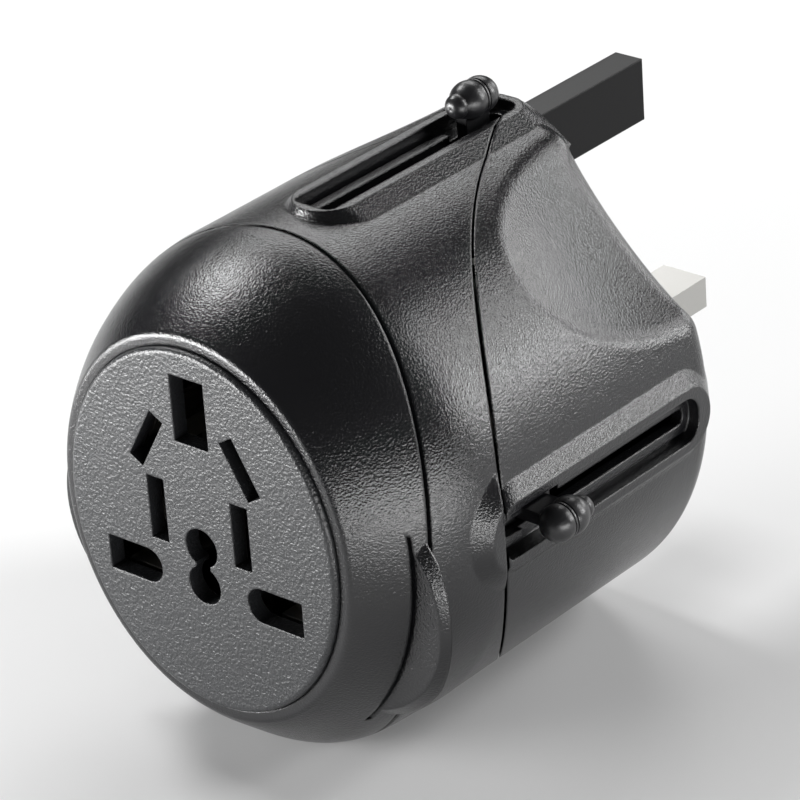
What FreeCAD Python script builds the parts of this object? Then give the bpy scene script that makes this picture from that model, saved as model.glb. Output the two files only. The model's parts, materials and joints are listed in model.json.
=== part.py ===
"""Travel adapter: a black oval body with a multi-country socket and three sliding plugs.

X runs across the body, Y from the socket towards the wall, Z up. Millimetres.
The origin is on the wall face, midway between the line and neutral pins of the rectangular plug.
Distances called "..._from_front" are measured along Y from the socket face.
"""
import FreeCAD
import Part
import math
import os

V = FreeCAD.Vector
ALONG = V(0, 1, 0)
FAR = 100.0  # longer than the body, for cutting tools
NEAR = 0.1   # tolerance for picking edges

# Fits
running_fit = 0.06      # radial play of the turning blade holders
slide_gap = 0.25        # play of pins and stems in their slots
seat_gap = 0.10         # play of the socket plate in its seat
seam_gap = 0.5          # groove between two shells

# Body shells
body_length = 59.3
body_half_width = 28.7
body_half_height = 31.2
body_axis_z = -2.7
wall = 2.0
shoulder_wall_extra = 0.9   # radial wall added where the shoulder slopes
wall_face_thickness = 2.5
rear_edge_radius = 3.5
shoulder_length = 19.0
shoulder_side_power = 2.1
shoulder_top_power = 2.2
belly_shoulder_length = 9.5     # the underside reaches full depth sooner
belly_shoulder_power = 1.3
shoulder_stations = 7

# Socket plate
face_half_width = 19.9
face_half_height = 22.7
face_centre_z = -2.2
face_thickness = 2.2
face_proud = 0.8
face_edge_radius = 0.6
face_land = 1.4         # cap rim left around the plate
cap_lip_radius = 0.9
seat_ledge = 2.0        # width of the ledge that the plate rests on
seat_thickness = 1.6

# Seam between cap and middle shell, an arc seen from the side
cap_seam_from_front = 8.2
cap_seam_centre_z = -9.9
cap_seam_radius = 86.0

# Seam between middle and rear shell, two arcs seen from above that leave a tongue
tongue_side_from_front = 18.6
tongue_tip_from_front = 52.9
tongue_tip_half_width = 3.0
tongue_radius = 84.0

# Pull ears on the cap, discs that stand out of its sides, each with a groove in front of it
ear_radius = 15.4       # at its back, against the seam
ear_taper = 1.2         # smaller radius at its front
ear_proud = 1.0         # beyond the body's half width
ear_centre_z = -9.2
ear_from_front = 7.2
ear_thickness = 1.4
ear_edge_radius = 0.25
ear_groove_width = 0.5
ear_groove_depth = 0.6

# Thumb dimples in the rear shell
dimple_angle = 45.0
dimple_radius = 66.0
dimple_floor = 25.4     # from the body axis to the deepest point
dimple_from_front = 59.0
dimple_edge_radius = 4.0

# Slider channels and knobs. Channel depths are measured from the rim's top.
rim_half_width = 4.0        # of its flat top
rim_flare = 1.2             # how far the sides slope outwards
rim_front_flare = 0.4
rim_proud = 1.0
rim_root = 3.6              # how far a rim reaches down, past the rounded rear edge
rim_rear_radius = 1.2       # where a rim's rear end meets the wall face
rim_end = 7.0               # from a knob's furthest middle place to the rim's end
recess_half_width = 2.9
recess_corner = 1.2         # front corners
recess_rear_corner = 2.5
groove_depth = 2.3          # beside the rails and under the parked knob
rail_depth = 1.55
slide_rail_half_width = 2.25
stem_slot_half_width = 1.0
stem_slot_end = 1.2         # from the slot's end to the recess's end
pit_half_length = 3.3       # the rails stop under the parked knob
side_rim = (16.5, 56.2)     # ends, from the front
side_recess = (18.2, 54.0)
bulb_radius = 6.7           # round front end of a side rim, at the body's surface
bulb_top_radius = 5.4
bulb_from_front = 15.9
bulb_edge_radius = 0.8
side_slider_z = -2.5
knob_radius = 2.2
knob_rise = 2.2         # knob axis above the rim
knob_nose = 3.9         # from the stem's middle to the nub's end
knob_tail = 3.7         # from the stem's middle to the dome's end
knob_nub_radius = 1.45
knob_nub_ratio = 0.7        # nub's radius near its end, as a share
knob_waist_ratio = 0.86     # radius midway to the nub, as a share
knob_crown_ratio = 0.78     # radius near the dome's end, as a share
knob_groove = 0.2
knob_rings = (0.4, 0.6, 0.85, 1.05)     # edges of two fine grooves, from the stem's middle
knob_press = 1.0
stem_length_y = 4.2
uk_knob_from_front = 51.6
side_knob_from_front = 26.0

# Sockets for the stems, in each carriage
head_gap = 0.4          # carriage below the shell's inner face
stem_reach = 1.6        # stem inside its carriage
spring_room = 1.5       # left below a pressed stem
pocket_wall = 1.2
spring_thickness = 0.25
spring_width = 1.6

# Rectangular three-pin plug
uk_travel = 23.2
uk_earth_z = 22.2
uk_line_x = 11.1
uk_earth_pin = (4.0, 8.0, uk_travel)    # width, height, length out of the wall face
uk_line_pin = (6.35, 4.0, 18.2)
uk_pin_chamfer = 1.0
uk_sleeve_length = 9.5
uk_sleeve_wall = 0.4
uk_carrier_y = (-16.0, -4.0)
uk_pin_root = 10.0      # pin length held by the carrier
uk_column_half_width = 4.2
uk_shoulder_z = (15.9, 21.2)
uk_leg_x = (11.4, 13.4)
uk_foot_x = (7.0, 15.2)
uk_foot_z = (-2.9, 3.6)

# Round two-pin plug
eu_travel = 19.5
eu_pin_x = 9.5
eu_pin_z = -10.8
eu_pin_radius = 2.0
eu_pin_core_radius = 1.5
eu_pin_tip_y = -0.6
eu_pin_tip_radius = 0.4     # flat left at the rounded tip
eu_sleeve_length = 10.0
eu_sleeve_radius = 1.9
eu_bar_y = (-30.5, -23.5)
eu_bar_half_height = 3.4
eu_pin_root = 6.0

# Flat two-blade plug whose blades also twist
us_blade_x = 6.35
us_blade_z = 10.0
us_blade = (1.5, 6.35)  # thickness, height
us_blade_tip_y = -0.6
us_blade_hole_radius = 3.6
us_rotor_radius = 3.7
us_rotor_length = 5.0
us_block_y = (-31.0, -20.7)
us_block_half_width = 10.9
us_block_half_height = 5.0
us_upright_half_width = 6.0
us_arm_z = (-6.6, -3.6)

# Arms from the side knobs to their carriages
arm_x = (16.4, 20.2)
arm_half_length = 4.0
arm_half_height = 2.4

# Socket slots, placed from the middle of the lower round hole
socket_z = -8.9
socket_line_slot = (6.5, 14.7, 4.4)     # inner end, outer end, height
socket_earth_slot = (5.1, 8.4)
socket_earth_z = 22.0
socket_blade_slot = (2.6, 8.1)
socket_blade_at = (6.3, 8.05)
socket_slant_slot = (2.2, 7.4)
socket_slant_at = (7.05, 16.8)
socket_slant_angle = 30.0
socket_round_radius = 2.4
socket_round_pitch = 4.8
socket_round_neck = 2.2

# Chassis plate, contacts, rails and fuse
chassis_from_front = 17.4
chassis_thickness = 2.0
chassis_gap = 0.45
leaf = 0.5
leaf_play = 0.1         # between a leaf and the edge of its slot
leaf_from_front = 3.0
bus_thickness = 0.8
bus_x = (4.2, 14.6)
bus_z = (-12.0, 11.0)
rail_x = 15.7
rail_thickness = 0.6
rail_z = (1.2, 5.2)
rail_end_gap = 0.5
fuse_above_bottom = 11.9
fuse_from_front = 10.3
fuse_body_radius = 2.4
fuse_cap_radius = 2.6
fuse_length = 20.0
fuse_cap_length = 5.0
clip_thickness = 0.5
clip_width = 3.0
clip_mouth_ratio = 0.75     # open beyond this share of the clip's height

# Screws from the wall face into the chassis
screw_x = 13.0
screw_above_bottom = 9.9
screw_radius = 1.25
screw_length = 28.0
screw_head_radius = 2.4
screw_head_height = 1.5
screw_head_depth = 0.4
screw_socket_across = 1.6
post_radius = 3.0
post_meets_y = -21.0
screw_fit = 0.05

FRONT = -body_length
BODY_TOP = body_axis_z + body_half_height
BODY_BOTTOM = body_axis_z - body_half_height
CHASSIS_Y = FRONT + chassis_from_front
EAR_CENTRE_X = body_half_width + ear_proud - ear_radius
SCREW_AT = (screw_x, BODY_BOTTOM + screw_above_bottom)
FUSE_Z = BODY_BOTTOM + fuse_above_bottom
TOP_RIM = (uk_knob_from_front - uk_travel - rim_end, uk_knob_from_front + rim_end)
TOP_RECESS = (TOP_RIM[0] + rim_half_width - recess_half_width,
              TOP_RIM[1] - rim_half_width + recess_half_width)


def box(x, y, z):
    """A box between two values on each axis."""
    return Part.makeBox(x[1] - x[0], y[1] - y[0], z[1] - z[0], V(x[0], y[0], z[0]))


def around(centre, half):
    return (centre - half, centre + half)


def rod(x, z, radius, y):
    """A round bar along Y."""
    return Part.makeCylinder(radius, y[1] - y[0], V(x, y[0], z), ALONG)


def mirrored(shape):
    """The same piece on the other side of the body."""
    return shape.mirror(V(0, 0, 0), V(1, 0, 0))


def both_sides(shape):
    return [shape, mirrored(shape)]


def oval(y, half_width, half_height, z):
    """An ellipse wire across the body, which starts at its top whatever its proportions."""
    centre, top = V(0, y, z), V(0, y, z + half_height)
    if half_height >= half_width:
        return Part.Wire(Part.Ellipse(top, V(half_width, y, z), centre).toShape())
    lying = Part.Ellipse(V(-half_width, y, z), top, centre)
    return Part.Wire(Part.ArcOfEllipse(lying, math.pi / 2, 2.5 * math.pi).toShape())


def oval_disc(y, half_width, half_height, z):
    return Part.Face(oval(y[0], half_width, half_height, z)).extrude(V(0, y[1] - y[0], 0))


def outer_form(inset, rear):
    """The body without seams: an oval bar whose front draws in to the socket plate's outline."""
    sections = []
    for i in range(shoulder_stations):
        u = i / (shoulder_stations - 1)
        side = 1 - (1 - u) ** shoulder_side_power
        top = 1 - (1 - u) ** shoulder_top_power
        below = 1 - (1 - min(1, u * shoulder_length / belly_shoulder_length)) ** belly_shoulder_power
        rim_width = face_half_width + face_land
        rim_height = face_half_height + face_land
        shrink = inset * (1 + shoulder_wall_extra / wall * (1 - u))
        growth = body_half_height - rim_height
        sections.append(oval(FRONT + face_proud + u * shoulder_length,
                             rim_width + (body_half_width - rim_width) * side - shrink,
                             rim_height + growth * (top + below) / 2 - shrink,
                             face_centre_z + (body_axis_z - face_centre_z) * u
                             + growth * (top - below) / 2))
    shoulder = Part.makeLoft(sections, True, False)
    bar = oval_disc((FRONT + face_proud + shoulder_length, rear),
                    body_half_width - inset, body_half_height - inset, body_axis_z)
    return bar, shoulder


def outer_body():
    bar, shoulder = outer_form(0, 0)
    rear_edge = [e for e in bar.Edges if abs(e.CenterOfMass.y) < wall / 2 and e.Closed]
    body = bar.makeFillet(rear_edge_radius, rear_edge).fuse(shoulder)
    for ball in dimples(0):
        body = body.cut(ball)
    pressed = [f for f in body.Faces if isinstance(f.Surface, Part.Sphere)]
    edges = [e for f in pressed for e in f.Edges if any(v.Y < -seat_gap for v in e.Vertexes)]
    body = body.makeFillet(dimple_edge_radius, edges)
    lip = [e for e in body.Edges if e.Closed and e.CenterOfMass.y < FRONT + wall]
    return body.makeFillet(cap_lip_radius, lip)


def cavity():
    bar, shoulder = outer_form(wall, -wall_face_thickness)
    inside = bar.fuse(shoulder)
    keep = box((-FAR, FAR), (FRONT + face_thickness + seat_thickness, FAR), (-FAR, FAR))
    inside = inside.common(keep)
    for swell in dimples(wall):
        inside = inside.cut(swell)
    return inside


def dimples(extra):
    """Large balls that press the thumb dimples into the rear shell."""
    turn = math.radians(dimple_angle)
    away = dimple_floor + dimple_radius
    centre = V(away * math.sin(turn), FRONT + dimple_from_front, body_axis_z + away * math.cos(turn))
    return both_sides(Part.makeSphere(dimple_radius + extra, centre))


def cap_zone(shift):
    """Everything in front of the cap's seam."""
    def seam_y(z):
        drop = cap_seam_radius - math.sqrt(cap_seam_radius ** 2 - (z - cap_seam_centre_z) ** 2)
        return FRONT + cap_seam_from_front + drop + shift
    low, high = -1.5 * body_half_height, 1.5 * body_half_height
    seam = Part.Arc(V(-FAR, seam_y(low), low), V(-FAR, seam_y(cap_seam_centre_z), cap_seam_centre_z),
                    V(-FAR, seam_y(high), high))
    corners = [V(-FAR, seam_y(high), high), V(-FAR, FRONT - FAR, high),
               V(-FAR, FRONT - FAR, low), V(-FAR, seam_y(low), low)]
    outline = Part.Wire([seam.toShape()] + Part.makePolygon(corners).Edges)
    return Part.Face(outline).extrude(V(2 * FAR, 0, 0))


def tongue_zone(shift):
    """Everything in front of the rear shell's seam, with the tongue along the top and bottom."""
    side = V(body_half_width, FRONT + tongue_side_from_front, 0)
    tip = V(tongue_tip_half_width, FRONT + tongue_tip_from_front, 0)
    chord = tip - side
    rise = math.sqrt(tongue_radius ** 2 - (chord.Length / 2) ** 2)
    centre = (side + tip) * 0.5 + V(chord.y, -chord.x, 0).normalize() * rise

    def seam(x):
        y = centre.y - math.sqrt(tongue_radius ** 2 - (abs(x) - centre.x) ** 2)
        return V(x, y + shift, -FAR)
    out, near = 1.3 * body_half_width, tongue_tip_half_width
    right = Part.Arc(seam(out), seam((out + near) / 2), seam(near)).toShape()
    left = Part.Arc(seam(-near), seam(-(out + near) / 2), seam(-out)).toShape()
    tip_line = Part.makePolygon([seam(near), seam(-near)]).Edges
    back = Part.makePolygon([seam(-out), V(-out, FRONT - FAR, -FAR),
                             V(out, FRONT - FAR, -FAR), seam(out)]).Edges
    return Part.Face(Part.Wire([right] + tip_line + [left] + back)).extrude(V(0, 0, 2 * FAR))


def stadium_wire(y, half_width, z):
    """An outline with round ends that lies along Y."""
    a, b, w = y[0] + half_width, y[1] - half_width, half_width
    return Part.Wire([Part.makeLine(V(w, a, z), V(w, b, z)),
                      Part.Arc(V(w, b, z), V(0, b + w, z), V(-w, b, z)).toShape(),
                      Part.makeLine(V(-w, b, z), V(-w, a, z)),
                      Part.Arc(V(-w, a, z), V(0, a - w, z), V(w, a, z)).toShape()])


def stadium(y, half_width, height):
    """A bar with round ends that lies along Y, between two heights."""
    return Part.Face(stadium_wire(y, half_width, height[0])).extrude(V(0, 0, height[1] - height[0]))


def on_side(shape, side):
    """Turns a piece made for the top slider to the right (1) or left (-1) side."""
    turned = shape.copy()
    turned.rotate(V(0, 0, 0), ALONG, 90 * side)
    turned.translate(V(0, 0, side_slider_z))
    return turned


def rim(ends, surface):
    """The raised rim of a slider on the top, with sides that slope outwards."""
    steps = (rim_root + rim_proud) / rim_proud
    y = (FRONT + ends[0], FRONT + ends[1])
    low = stadium_wire((y[0] - rim_front_flare * steps, y[1] + rim_flare * steps),
                       rim_half_width + rim_flare * steps, surface - rim_root)
    boss = Part.makeLoft([low, stadium_wire(y, rim_half_width, surface + rim_proud)], True, True)
    reach = box(around(0, FAR), (-FAR, 0), (surface - 2 * rim_root, surface + rim_proud))
    rear_edge = [e for e in reach.Edges if e.CenterOfMass.y > -wall and e.CenterOfMass.z > surface]
    return boss.common(reach.makeFillet(rim_rear_radius, rear_edge))


def bulb(surface):
    """The round front end of a side slider's rim, made for the top."""
    slope = (bulb_radius - bulb_top_radius) / rim_proud
    centre = V(0, FRONT + bulb_from_front + bulb_top_radius, surface - rim_root)
    cone = Part.makeCone(bulb_radius + slope * rim_root, bulb_top_radius, rim_root + rim_proud, centre)
    top_edge = [e for e in cone.Edges if e.Closed and e.CenterOfMass.z > surface]
    return cone.makeFillet(bulb_edge_radius, top_edge)


def channel_space(recess, knob_from_front, surface):
    """What is cut into a rim on the top: recess, grooves beside the rails, pit and slot."""
    top = surface + rim_proud
    y = (FRONT + recess[0], FRONT + recess[1])
    high = (top - groove_depth, top + wall)
    space = box(around(0, recess_half_width), y, high)
    corners = [e for e in space.Edges if e.CenterOfMass.z < high[1] - NEAR
               and e.CenterOfMass.z > high[0] + NEAR]
    space = space.makeFillet(recess_corner, [e for e in corners if e.CenterOfMass.y < sum(y) / 2])
    corners = [e for e in space.Edges if e.CenterOfMass.y > y[1] - NEAR and abs(e.CenterOfMass.x) > NEAR
               and high[0] + NEAR < e.CenterOfMass.z < high[1] - NEAR]
    space = space.makeFillet(recess_rear_corner, corners)
    rails = box(around(0, slide_rail_half_width), (y[0] - wall, y[1] + wall),
                (top - groove_depth - wall, top - rail_depth))
    pit = around(FRONT + knob_from_front, pit_half_length)
    space = space.cut(rails.cut(box(around(0, recess_half_width), pit, high)))
    slot = stadium((y[0] + stem_slot_end, y[1] - stem_slot_end), stem_slot_half_width,
                   (surface - 2 * wall, top))
    return space.fuse(slot)


def knob(y, surface, dome):
    """A press knob on the top slider: acorn shape with a stem, its dome towards dome = 1 or -1."""
    axis = surface + rim_proud + knob_rise
    r, nub, cut = knob_radius, knob_nub_radius, knob_groove
    start, end = -knob_nose, knob_tail

    def at(along, radius):
        return V(0, y + dome * along, axis + radius)
    rings = knob_rings
    edges = [Part.Arc(at(start, 0), at(start + knob_groove, knob_nub_ratio * nub),
                      at(start + nub, nub)).toShape(),
             Part.Arc(at(start + nub, nub), at(start / 2, knob_waist_ratio * r), at(rings[0], r)).toShape()]
    steps = [at(rings[0], r), at(rings[0], r - cut), at(rings[1], r - cut), at(rings[1], r),
             at(rings[2], r), at(rings[2], r - cut), at(rings[3], r - cut), at(rings[3], r)]
    edges += Part.makePolygon(steps).Edges
    near_end = end - 2 * rings[0]
    edges += [Part.Arc(at(rings[3], r), at(near_end, knob_crown_ratio * r), at(end, 0)).toShape(),
              Part.makeLine(at(end, 0), at(start, 0))]
    acorn = Part.Face(Part.Wire(edges)).revolve(V(0, y, axis), ALONG, 360)
    half = stem_slot_half_width - slide_gap
    tip = surface - wall - head_gap - stem_reach
    stem = box((-half, half), around(y, stem_length_y / 2), (tip, axis))
    return acorn.fuse(stem).removeSplitter()


def pocket(y, surface):
    """The space in a carriage for a stem and its spring."""
    head = surface - wall - head_gap
    floor = head - stem_reach - knob_press - spring_room
    half = stem_slot_half_width
    return box((-half, half), around(y, stem_length_y / 2 + slide_gap), (floor, head + wall))


def pocket_block(y, surface, depth):
    """The carriage's solid round the pocket."""
    head = surface - wall - head_gap
    return box((-arm_half_height, arm_half_height), around(y, arm_half_length), (depth, head))


def knob_spring(y, surface):
    """A bowed strip of spring steel under a stem."""
    head = surface - wall - head_gap
    floor = head - stem_reach - knob_press - spring_room
    rise = knob_press + spring_room - seat_gap
    half = stem_length_y / 2

    def at(along, lift):
        return V(0, y + along, floor + lift)
    t = spring_thickness
    outline = Part.Wire([Part.Arc(at(t - half, 0), at(0, rise - t), at(half - t, 0)).toShape(),
                         Part.makeLine(at(half - t, 0), at(half, 0)),
                         Part.Arc(at(half, 0), at(0, rise), at(-half, 0)).toShape(),
                         Part.makeLine(at(-half, 0), at(t - half, 0))])
    strip = Part.Face(outline).extrude(V(spring_width, 0, 0))
    strip.translate(V(-spring_width / 2, 0, 0))
    return strip


def wall_face_holes():
    """Slots in the wall face for all the plugs."""
    through = (-wall_face_thickness - wall, wall)
    w, h, _ = uk_earth_pin
    holes = [box(around(0, w / 2 + slide_gap), through, around(uk_earth_z, h / 2 + slide_gap))]
    w, h, _ = uk_line_pin
    holes += both_sides(box(around(uk_line_x, w / 2 + slide_gap), through,
                            around(0, h / 2 + slide_gap)))
    holes += both_sides(rod(eu_pin_x, eu_pin_z, eu_pin_radius + slide_gap, through))
    holes += both_sides(rod(us_blade_x, us_blade_z, us_blade_hole_radius, through))
    return holes


def ear():
    y = FRONT + ear_from_front
    disc = Part.makeCone(ear_radius - ear_taper, ear_radius, ear_thickness,
                         V(EAR_CENTRE_X, y, ear_centre_z), ALONG)
    front_edge = [e for e in disc.Edges if e.Closed and abs(e.CenterOfMass.y - y) < ear_edge_radius]
    return disc.makeFillet(ear_edge_radius, front_edge).common(cap_zone(0))


def ear_groove():
    """The groove that sets the right ear off from the cap's flank in front of it."""
    y = (FRONT + ear_from_front - ear_groove_width, FRONT + ear_from_front)
    _, core = outer_form(ear_groove_depth, 0)
    return rod(EAR_CENTRE_X, ear_centre_z, ear_radius, y).cut(core)


def shells():
    """Front cap, middle shell and rear shell."""
    hollow = cavity()
    body = outer_body()
    side_boss = rim(side_rim, body_half_width)
    round_end = bulb(body_half_width)
    side_space = channel_space(side_recess, side_knob_from_front, body_half_width)
    bosses = [rim(TOP_RIM, BODY_TOP)]
    spaces = [channel_space(TOP_RECESS, uk_knob_from_front, BODY_TOP)]
    for side in (1, -1):
        bosses += [on_side(side_boss, side), on_side(round_end, side).common(tongue_zone(0))]
        spaces.append(on_side(side_space, side))
    for boss in bosses:
        body = body.fuse(boss)
    body = body.cut(hollow)
    for space in spaces:
        body = body.cut(space)

    cap = body.common(cap_zone(0))
    for piece in both_sides(ear().cut(hollow)):
        cap = cap.fuse(piece)
    for groove in both_sides(ear_groove()):
        cap = cap.cut(groove)
    seat = oval_disc((FRONT - wall, FRONT + face_thickness), face_half_width + seat_gap,
                     face_half_height + seat_gap, face_centre_z)
    mouth = oval_disc((FRONT, FRONT + face_thickness + 2 * seat_thickness),
                      face_half_width - seat_ledge, face_half_height - seat_ledge, face_centre_z)
    cap = cap.cut(seat).cut(mouth)

    behind_cap = body.cut(cap_zone(seam_gap))
    middle = behind_cap.common(tongue_zone(0))
    rear = behind_cap.cut(tongue_zone(seam_gap))
    for hole in wall_face_holes():
        rear = rear.cut(hole)
    head_space = (-screw_head_depth - screw_head_height, wall)
    post = rod(*SCREW_AT, post_radius, (post_meets_y, -wall_face_thickness + seat_gap))
    for piece in both_sides(post):
        rear = rear.fuse(piece)
    for space in (both_sides(rod(*SCREW_AT, screw_radius + slide_gap, (post_meets_y - wall, wall)))
                  + both_sides(rod(*SCREW_AT, screw_head_radius + seat_gap, head_space))):
        rear = rear.cut(space)
    return {"front_cap": cap, "middle_shell": middle, "rear_shell": rear}


def socket_plate():
    """The oval plate with the slots for foreign plugs."""
    y = (FRONT, FRONT + face_thickness)
    plate = oval_disc(y, face_half_width, face_half_height, face_centre_z)
    front_edge = [e for e in plate.Edges if e.Closed and abs(e.CenterOfMass.y - FRONT) < face_edge_radius]
    plate = plate.makeFillet(face_edge_radius, front_edge)
    through = (FRONT - wall, FRONT + face_thickness + wall)

    inner, outer, height = socket_line_slot
    line_slot = box((inner + height / 2, outer), through, around(socket_z, height / 2))
    line_slot = line_slot.fuse(rod(inner + height / 2, socket_z, height / 2, through))
    cuts = both_sides(line_slot)
    w, h = socket_earth_slot
    cuts.append(box(around(0, w / 2), through, around(socket_z + socket_earth_z, h / 2)))
    w, h = socket_blade_slot
    cuts += both_sides(box(around(socket_blade_at[0], w / 2), through,
                           around(socket_z + socket_blade_at[1], h / 2)))
    cuts += both_sides(slanted(box(around(0, socket_slant_slot[0] / 2), through,
                                   around(0, socket_slant_slot[1] / 2))))
    for step in (0, 1):
        cuts.append(rod(0, socket_z + step * socket_round_pitch, socket_round_radius, through))
    cuts.append(box(around(0, socket_round_neck / 2), through,
                    (socket_z, socket_z + socket_round_pitch)))
    for space in cuts:
        plate = plate.cut(space)
    return plate


def slanted(shape):
    """Leans a piece made at the origin and moves it to the right-hand slanted slot."""
    leant = shape.copy()
    leant.rotate(V(0, 0, 0), ALONG, -socket_slant_angle)
    leant.translate(V(socket_slant_at[0], 0, socket_z + socket_slant_at[1]))
    return leant


def contact():
    """The right-hand contact: leaves on both sides of each slot, on one bus plate."""
    leaves_y = (FRONT + leaf_from_front, CHASSIS_Y)
    inner, outer, height = socket_line_slot
    span = (inner + height / 2, outer)
    piece = box(bus_x, (CHASSIS_Y - bus_thickness, CHASSIS_Y), bus_z)
    for side in (-1, 1):
        def pair(width, half_height):
            """One leaf beside a slot of this width."""
            near = width / 2 + leaf_play
            return box((near, near + leaf) if side > 0 else (-near - leaf, -near), leaves_y,
                       around(0, half_height))
        lower = height / 2 + leaf_play
        z = (lower, lower + leaf) if side > 0 else (-lower - leaf, -lower)
        piece = piece.fuse(box(span, leaves_y, (socket_z + z[0], socket_z + z[1])))
        blade = pair(socket_blade_slot[0], socket_blade_slot[1] / 2 - leaf)
        blade.translate(V(socket_blade_at[0], 0, socket_z + socket_blade_at[1]))
        piece = piece.fuse(blade)
        piece = piece.fuse(slanted(pair(socket_slant_slot[0], socket_slant_slot[1] / 2 - 2 * leaf)))
    return piece


def rail():
    """The right-hand rail that carries current from the contact to the sliding plugs."""
    x = (rail_x, rail_x + rail_thickness)
    bar = box(x, (CHASSIS_Y - bus_thickness, -wall_face_thickness - rail_end_gap), rail_z)
    tab = box((bus_x[1], rail_x), (CHASSIS_Y - bus_thickness, CHASSIS_Y), rail_z)
    return bar.fuse(tab)


def chassis():
    """The inner plate that carries contacts, rails and fuse, with the screw posts."""
    y = (CHASSIS_Y, CHASSIS_Y + chassis_thickness)
    inset = wall + chassis_gap
    plate = oval_disc(y, body_half_width - inset, body_half_height - inset, body_axis_z)
    for post in both_sides(rod(*SCREW_AT, post_radius, (y[0], post_meets_y - seat_gap))):
        plate = plate.fuse(post)
    for hole in both_sides(rod(*SCREW_AT, screw_radius + screw_fit, (y[0] - wall, 0))):
        plate = plate.cut(hole)
    for piece in both_sides(rail()):
        plate = plate.cut(piece)
    return plate


def screw():
    """A socket-head screw along Y."""
    head_y = (-screw_head_depth - screw_head_height, -screw_head_depth)
    piece = rod(*SCREW_AT, screw_head_radius, head_y)
    piece = piece.fuse(rod(*SCREW_AT, screw_radius, (head_y[0] - screw_length, head_y[0])))
    bit = Part.makePolygon([V(SCREW_AT[0] + screw_socket_across * math.cos(math.radians(60 * i)), 0,
                              SCREW_AT[1] + screw_socket_across * math.sin(math.radians(60 * i)))
                            for i in range(7)])
    key = Part.Face(bit).extrude(V(0, -screw_head_depth - screw_head_height / 2, 0))
    return piece.cut(key)


def fuse_parts():
    """A tubular fuse across the body, in two spring clips on the chassis."""
    y = FRONT + fuse_from_front
    half, core = fuse_length / 2, fuse_length / 2 - fuse_cap_length

    def tube(x, radius):
        return Part.makeCylinder(radius, x[1] - x[0], V(x[0], y, FUSE_Z), V(1, 0, 0))
    cap = tube((core, half), fuse_cap_radius)
    middle = core + fuse_cap_length / 2
    x = around(middle, clip_width / 2)
    grip = fuse_cap_radius + clip_thickness
    clip = box(x, (y, CHASSIS_Y), around(FUSE_Z, grip))
    clip = clip.fuse(tube(x, grip))
    inside = box(x, (y, CHASSIS_Y - clip_thickness), around(FUSE_Z, fuse_cap_radius))
    clip = clip.cut(inside).cut(tube(x, fuse_cap_radius))
    mouth = box(x, (y - grip, y - clip_mouth_ratio * grip), around(FUSE_Z, grip))
    clip = clip.cut(mouth)
    return {"fuse_body": tube((-core, core), fuse_body_radius),
            "fuse_cap_line": cap, "fuse_cap_load": mirrored(cap),
            "fuse_clip_line": clip, "fuse_clip_load": mirrored(clip)}


def tapered_pin(width, height, y):
    """A rectangular pin with a chamfered tip."""
    pin = box(around(0, width / 2), y, around(0, height / 2))
    tip = [e for e in pin.Edges if all(abs(v.Y - y[1]) < slide_gap for v in e.Vertexes)]
    return pin.makeChamfer(uk_pin_chamfer, tip)


def uk_plug():
    """The rectangular three-pin plug and its carriage."""
    y = uk_carrier_y
    top = BODY_TOP - wall - head_gap
    knob_y = FRONT + uk_knob_from_front
    root = y[1] - uk_pin_root

    width, height, length = uk_earth_pin
    earth = tapered_pin(width, height, (root, length))
    earth.translate(V(0, 0, uk_earth_z))
    floor = top - stem_reach - knob_press - spring_room
    notch = box((-width, width), (root - wall, knob_y + stem_length_y), (floor - pocket_wall, FAR))
    earth = earth.cut(notch)

    width, height, length = uk_line_pin
    pin = tapered_pin(width, height, (root, length))
    sleeve_y = (y[1], uk_sleeve_length)
    sleeve = box(around(0, width / 2), sleeve_y, around(0, height / 2))
    core = box(around(0, width / 2 - uk_sleeve_wall), sleeve_y, around(0, height / 2 - uk_sleeve_wall))
    sleeve = sleeve.cut(core)
    pin = pin.cut(sleeve)
    for piece in (pin, sleeve):
        piece.translate(V(uk_line_x, 0, 0))

    carrier = box((-uk_column_half_width, uk_column_half_width), y, (uk_shoulder_z[0], top))
    carrier = carrier.fuse(box((-uk_leg_x[1], uk_leg_x[1]), y, uk_shoulder_z))
    for piece in (both_sides(box(uk_leg_x, y, (uk_foot_z[0], uk_shoulder_z[1])))
                  + both_sides(box(uk_foot_x, y, uk_foot_z))):
        carrier = carrier.fuse(piece)
    for space in dimples(wall + head_gap) + [pocket(knob_y, BODY_TOP), earth] + both_sides(pin):
        carrier = carrier.cut(space)
    return {"uk_carrier": carrier, "uk_earth_pin": earth, "uk_line_pin": pin,
            "uk_neutral_pin": mirrored(pin), "uk_line_sleeve": sleeve,
            "uk_neutral_sleeve": mirrored(sleeve), "uk_knob": knob(knob_y, BODY_TOP, 1),
            "uk_knob_spring": knob_spring(knob_y, BODY_TOP)}


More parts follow.
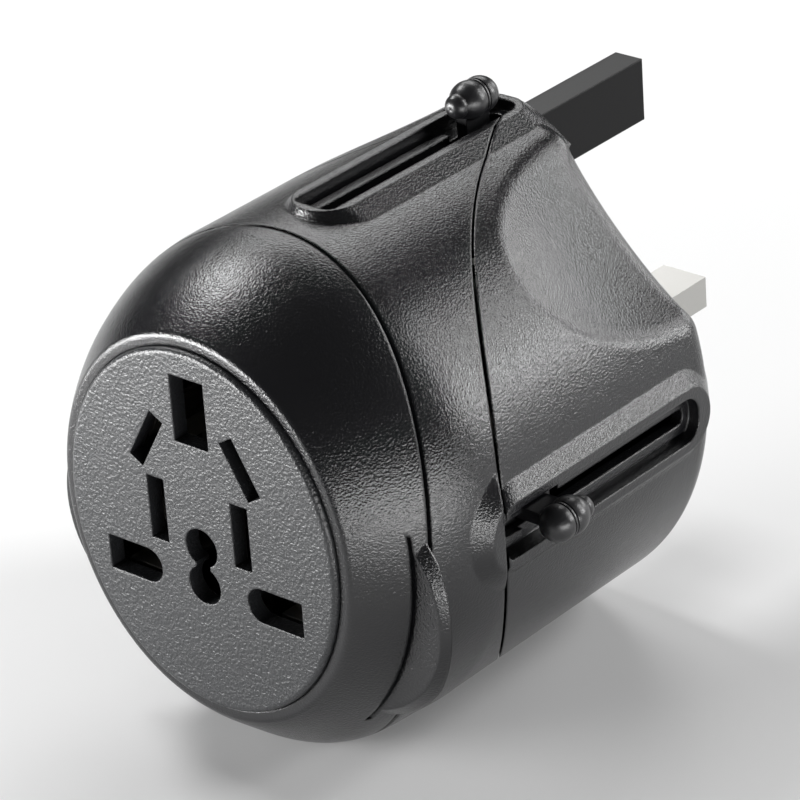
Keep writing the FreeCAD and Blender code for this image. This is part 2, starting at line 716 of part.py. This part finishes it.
def eu_plug():
    """The round two-pin plug, its carriage and its knob on the right side."""
    knob_y = FRONT + side_knob_from_front
    z = around(eu_pin_z, eu_bar_half_height)
    bar_x = (-eu_pin_x - eu_bar_half_height, arm_x[1])
    arm_y = around(knob_y, arm_half_length)
    root = eu_bar_y[1] - eu_pin_root

    pin = rod(eu_pin_x, eu_pin_z, eu_pin_radius, (root, eu_pin_tip_y))
    pin = pin.makeFillet(eu_pin_radius - eu_pin_tip_radius, [e for e in pin.Edges
                                               if e.Closed and abs(e.CenterOfMass.y - eu_pin_tip_y) < NEAR])
    sleeve_y = (eu_bar_y[1], eu_sleeve_length - eu_travel)
    around_core = rod(eu_pin_x, eu_pin_z, eu_pin_radius, sleeve_y)
    core = rod(eu_pin_x, eu_pin_z, eu_pin_core_radius, sleeve_y)
    pin = pin.cut(around_core.cut(core))
    sleeve = rod(eu_pin_x, eu_pin_z, eu_sleeve_radius, sleeve_y).cut(core)

    carrier = box(bar_x, eu_bar_y, z)
    carrier = carrier.fuse(box(arm_x, (arm_y[0], eu_bar_y[1]), (z[0], side_slider_z + arm_half_height)))
    carrier = carrier.fuse(on_side(pocket_block(knob_y, body_half_width, arm_x[0]), 1))
    for space in both_sides(pin) + [on_side(pocket(knob_y, body_half_width), 1)]:
        carrier = carrier.cut(space)
    return {"eu_carrier": carrier, "eu_line_pin": pin, "eu_neutral_pin": mirrored(pin),
            "eu_line_sleeve": sleeve, "eu_neutral_sleeve": mirrored(sleeve),
            "eu_knob": on_side(knob(knob_y, body_half_width, -1), 1),
            "eu_knob_spring": on_side(knob_spring(knob_y, body_half_width), 1)}


def us_plug():
    """The flat two-blade plug, its carriage and its knob on the left side."""
    knob_y = FRONT + side_knob_from_front
    arm_y = around(knob_y, arm_half_length)
    rotor_y = (us_block_y[1] - us_rotor_length, us_block_y[1])

    thickness, height = us_blade
    blade_y = (rotor_y[0] + running_fit, us_blade_tip_y)
    blade = box(around(us_blade_x, thickness / 2), blade_y, around(us_blade_z, height / 2))
    tip = [e for e in blade.Edges if all(abs(v.Y - us_blade_tip_y) < NEAR for v in e.Vertexes)]
    blade = blade.makeChamfer(thickness / 4, tip)
    rotor = rod(us_blade_x, us_blade_z, us_rotor_radius, (rotor_y[0] + running_fit, rotor_y[1]))
    rotor = rotor.cut(blade)

    block = box((-us_block_half_width, us_block_half_width), us_block_y,
                around(us_blade_z, us_block_half_height))
    for space in both_sides(rod(us_blade_x, us_blade_z, us_rotor_radius + running_fit,
                                (rotor_y[0], 0))):
        block = block.cut(space)
    upright = box(around(0, us_upright_half_width), (arm_y[0], us_block_y[0] + arm_half_height),
                  (us_arm_z[0], us_blade_z))
    cross = box((-arm_x[1], us_upright_half_width), arm_y, us_arm_z)
    riser = box((-arm_x[1], -arm_x[0]), arm_y, (us_arm_z[0], side_slider_z + arm_half_height))
    carrier = block
    for piece in (upright, cross, riser, on_side(pocket_block(knob_y, body_half_width, arm_x[0]), -1)):
        carrier = carrier.fuse(piece)
    carrier = carrier.cut(on_side(pocket(knob_y, body_half_width), -1))
    return {"us_carrier": carrier, "us_line_rotor": rotor, "us_neutral_rotor": mirrored(rotor),
            "us_line_blade": blade, "us_neutral_blade": mirrored(blade),
            "us_knob": on_side(knob(knob_y, body_half_width, -1), -1),
            "us_knob_spring": on_side(knob_spring(knob_y, body_half_width), -1)}


def build():
    parts = shells()
    parts["socket_plate"] = socket_plate()
    parts["chassis"] = chassis()
    for name, shape in (("contact", contact()), ("rail", rail())):
        parts["line_" + name], parts["neutral_" + name] = both_sides(shape)
    parts["shell_screw_right"], parts["shell_screw_left"] = both_sides(screw())
    for group in (fuse_parts(), uk_plug(), eu_plug(), us_plug()):
        parts.update(group)
    return parts


def main():
    os.makedirs("parts", exist_ok=True)
    for name, shape in build().items():
        print(f"{name}: {len(shape.Solids)} solid, {shape.Volume:.1f} mm3, valid {shape.isValid()}")
        shape.exportStep(f"parts/{name}.step")


main()
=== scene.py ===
import bpy
import json
import math
from mathutils import Matrix, Vector


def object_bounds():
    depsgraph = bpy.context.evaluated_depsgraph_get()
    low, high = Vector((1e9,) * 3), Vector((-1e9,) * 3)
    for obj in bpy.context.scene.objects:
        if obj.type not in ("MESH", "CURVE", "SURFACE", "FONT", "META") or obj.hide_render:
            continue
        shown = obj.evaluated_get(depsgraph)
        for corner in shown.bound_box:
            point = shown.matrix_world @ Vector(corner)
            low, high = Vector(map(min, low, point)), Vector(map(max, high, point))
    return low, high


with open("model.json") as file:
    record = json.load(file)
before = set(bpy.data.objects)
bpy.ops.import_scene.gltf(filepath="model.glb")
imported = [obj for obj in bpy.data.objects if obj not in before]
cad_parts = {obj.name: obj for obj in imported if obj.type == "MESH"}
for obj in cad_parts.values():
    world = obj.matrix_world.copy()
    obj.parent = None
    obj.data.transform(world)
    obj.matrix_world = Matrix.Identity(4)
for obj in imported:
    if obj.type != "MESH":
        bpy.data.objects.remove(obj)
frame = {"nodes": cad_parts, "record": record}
CAD_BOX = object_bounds()
NODES = frame["nodes"]
MM = 0.001

# Loading leaves the nodes selected
bpy.ops.object.select_all(action="DESELECT")

# Camera, as a fit to the standard slots and pins in the photograph gives it
CAMERA_PLACE = Vector((302.44, -362.67, 233.76)) * MM
CAMERA_AZIMUTH = math.radians(41.77)
CAMERA_ELEVATION = math.radians(27.32)
CAMERA_ROLL = math.radians(-4.16)
FOCAL_LENGTH_IN_PIXELS = 4349
PICTURE_WIDTH_IN_PIXELS = 800
SENSOR_WIDTH_MM = 36


def photo_camera():
    """The photograph's viewpoint: where the lens stood, how it was turned, and its roll."""
    back = Vector((math.sin(CAMERA_AZIMUTH) * math.cos(CAMERA_ELEVATION),
                   -math.cos(CAMERA_AZIMUTH) * math.cos(CAMERA_ELEVATION),
                   math.sin(CAMERA_ELEVATION)))
    level = Vector((math.cos(CAMERA_AZIMUTH), math.sin(CAMERA_AZIMUTH), 0))
    above = back.cross(level)
    right = math.cos(CAMERA_ROLL) * level + math.sin(CAMERA_ROLL) * above
    up = back.cross(right)
    data = bpy.data.cameras.new("photo_camera")
    data.sensor_width = SENSOR_WIDTH_MM
    data.lens = SENSOR_WIDTH_MM * FOCAL_LENGTH_IN_PIXELS / PICTURE_WIDTH_IN_PIXELS
    data.clip_start = 0.01
    data.clip_end = 10
    camera = bpy.data.objects.new("photo_camera", data)
    bpy.context.collection.objects.link(camera)
    turn = Matrix((right, up, back)).transposed().to_4x4()
    camera.matrix_world = Matrix.Translation(CAMERA_PLACE) @ turn
    bpy.context.scene.camera = camera


photo_camera()


# Materials
def linear(hex_colour):
    """An sRGB hex value as the linear colour that the shader takes."""
    parts = [int(hex_colour[i:i + 2], 16) / 255 for i in (1, 3, 5)]
    return [p / 12.92 if p <= 0.04045 else ((p + 0.055) / 1.055) ** 2.4 for p in parts] + [1]


def add(tree, kind, links, **values):
    """Adds one shader node, with its input values and its links from other nodes."""
    made = tree.nodes.new(kind)
    for name, value in values.items():
        made.inputs[name].default_value = value
    for name, source in links.items():
        tree.links.new(source, made.inputs[name])
    return made


def plain(name, colour, roughness, **values):
    """A material of one colour and one gloss all over."""
    material = bpy.data.materials.new(name)
    material.use_nodes = True
    shader = material.node_tree.nodes["Principled BSDF"]
    shader.inputs["Base Color"].default_value = linear(colour)
    shader.inputs["Roughness"].default_value = roughness
    for key, value in values.items():
        shader.inputs[key].default_value = value
    return material


def moulded(name, colour, roughness, grain_mm, depth_mm, edge_mm, **values):
    """Moulded plastic: a grain of lumps about grain_mm wide, and edges rounded to edge_mm."""
    material = plain(name, colour, roughness, **values)
    tree = material.node_tree
    place = add(tree, "ShaderNodeTexCoord", {}).outputs["Object"]
    grain = add(tree, "ShaderNodeTexNoise", {"Vector": place}, Scale=1 / (2 * grain_mm * MM), Detail=2.0)
    edge = add(tree, "ShaderNodeBevel", {}, Radius=edge_mm * MM)
    edge.samples = 6
    bump = add(tree, "ShaderNodeBump", {"Height": grain.outputs["Fac"], "Normal": edge.outputs["Normal"]},
               Strength=1.0, Distance=depth_mm * MM)
    tree.links.new(bump.outputs["Normal"], tree.nodes["Principled BSDF"].inputs["Normal"])
    return material


POLYCARBONATE_IOR = 1.585
NYLON_IOR = 1.53

# Polycarbonate from a spark-eroded mould. The even grain breaks every highlight into fine sparkle.
# The real grain is about 0.05 mm wide, too fine to show, so it is drawn as wide as it needs to show.
shell_plastic = moulded("spark_textured_polycarbonate", "#151517", 0.23,
                        grain_mm=0.13, depth_mm=0.075, edge_mm=0.4, IOR=POLYCARBONATE_IOR)

# The same plastic from a coarser and duller mould face: greyer than the shells, with an even glitter.
face_plastic = moulded("coarse_spark_polycarbonate", "#212224", 0.36,
                       grain_mm=0.17, depth_mm=0.12, edge_mm=0.3, IOR=POLYCARBONATE_IOR)

# Polycarbonate with hardly any grain: the knobs catch small soft highlights.
knob_plastic = moulded("satin_polycarbonate", "#18181a", 0.34,
                       grain_mm=0.13, depth_mm=0.02, edge_mm=0.15, IOR=POLYCARBONATE_IOR)

# Nylon as it leaves the mould: flat and deep black, with a weak reflection matched to the earth pin.
pin_nylon = moulded("black_nylon", "#0c0c0d", 0.3,
                    grain_mm=0.3, depth_mm=0.004, edge_mm=0.3, IOR=NYLON_IOR, **{"Specular IOR Level": 0.12})

# Dull nylon for what lies inside: nothing shines behind the slots.
inner_nylon = moulded("inner_nylon", "#141415", 0.5,
                      grain_mm=0.3, depth_mm=0.01, edge_mm=0.1, IOR=NYLON_IOR)

# Nickel plate, tumbled: soft grey-white pins without sharp reflections.
# The plated steel of the screws and springs looks the same.
nickel = plain("nickel_plated_brass", "#b4b3b0", 0.4, Metallic=1.0)

# Tinned phosphor bronze: contact leaves of a darker and warmer grey than the pins.
tinned_bronze = plain("tinned_phosphor_bronze", "#8d8a84", 0.4, Metallic=1.0)

# Glazed ceramic: a cream and shiny fuse.
fuse_ceramic = plain("glazed_ceramic", "#e6e1d4", 0.15)

# Matt paper, pale and even: the floor shows no grain and hardly any reflection.
paper = plain("pale_paper", "#ececec", 0.9)

FINISHES = {
    "shell_plastic": shell_plastic,
    "face_plastic": face_plastic,
    "knob_plastic": knob_plastic,
    "earth_pin_plastic": pin_nylon,
    "sleeve_plastic": pin_nylon,
    "inner_plastic": inner_nylon,
    "pin_metal": nickel,
    "fuse_metal": nickel,
    "screw_steel": nickel,
    "spring_steel": nickel,
    "contact_metal": tinned_bronze,
    "fuse_ceramic": fuse_ceramic,
}
for part in frame["record"]["subparts"]:
    for slot in NODES[part["node"]].material_slots:
        slot.material = FINISHES[part["material_slot"]]


# Floor, lamps and world
FLOOR_WIDTH = 6
WORLD_STRENGTH = 0.05
OBJECT_MIDDLE = Vector((0, -0.02, 0))


def floor():
    """A plain pale floor that the object lies on."""
    bpy.ops.mesh.primitive_plane_add(size=FLOOR_WIDTH, location=(0, 0, CAD_BOX[0].z))
    plane = bpy.context.object
    plane.name = "floor"
    plane.data.materials.append(paper)
    bpy.ops.object.select_all(action="DESELECT")


def softbox(name, place, size, watts):
    """A rectangular lamp at place, in metres, that faces the object."""
    data = bpy.data.lights.new(name, "AREA")
    data.shape = "RECTANGLE"
    data.size, data.size_y = size
    data.energy = watts
    lamp = bpy.data.objects.new(name, data)
    bpy.context.collection.objects.link(lamp)
    lamp.location = place
    lamp.rotation_euler = (Vector(place) - OBJECT_MIDDLE).to_track_quat("Z", "Y").to_euler()


floor()

# The lamps' places and powers are matched to the highlights in the photograph
softbox("high_left", place=(-0.45, 0.03, 0.55), size=(0.2, 0.2), watts=2.5)
softbox("back_left", place=(-0.41, 0.4, 0.42), size=(0.3, 0.3), watts=0.99)
softbox("back_left_high", place=(-0.2, 0.48, 0.5), size=(0.2, 0.2), watts=0.68)
softbox("back_low", place=(0.1, 0.65, 0.16), size=(0.3, 0.2), watts=0.98)
softbox("back_right", place=(0.52, 0.5, 0.19), size=(0.18, 0.18), watts=2.3)
softbox("back_right_high", place=(0.36, 0.46, 0.42), size=(0.2, 0.2), watts=1.25)
softbox("front_left", place=(-0.2, -0.27, 0.0), size=(0.2, 0.1), watts=2.07)
softbox("right_low", place=(0.3, -0.1, -0.015), size=(0.3, 0.03), watts=0.54)

world = bpy.data.worlds.new("studio")
bpy.context.scene.world = world
world.use_nodes = True
background = world.node_tree.nodes["Background"]
background.inputs["Color"].default_value = linear("#ffffff")
background.inputs["Strength"].default_value = WORLD_STRENGTH
bpy.context.scene.view_settings.view_transform = "Standard"
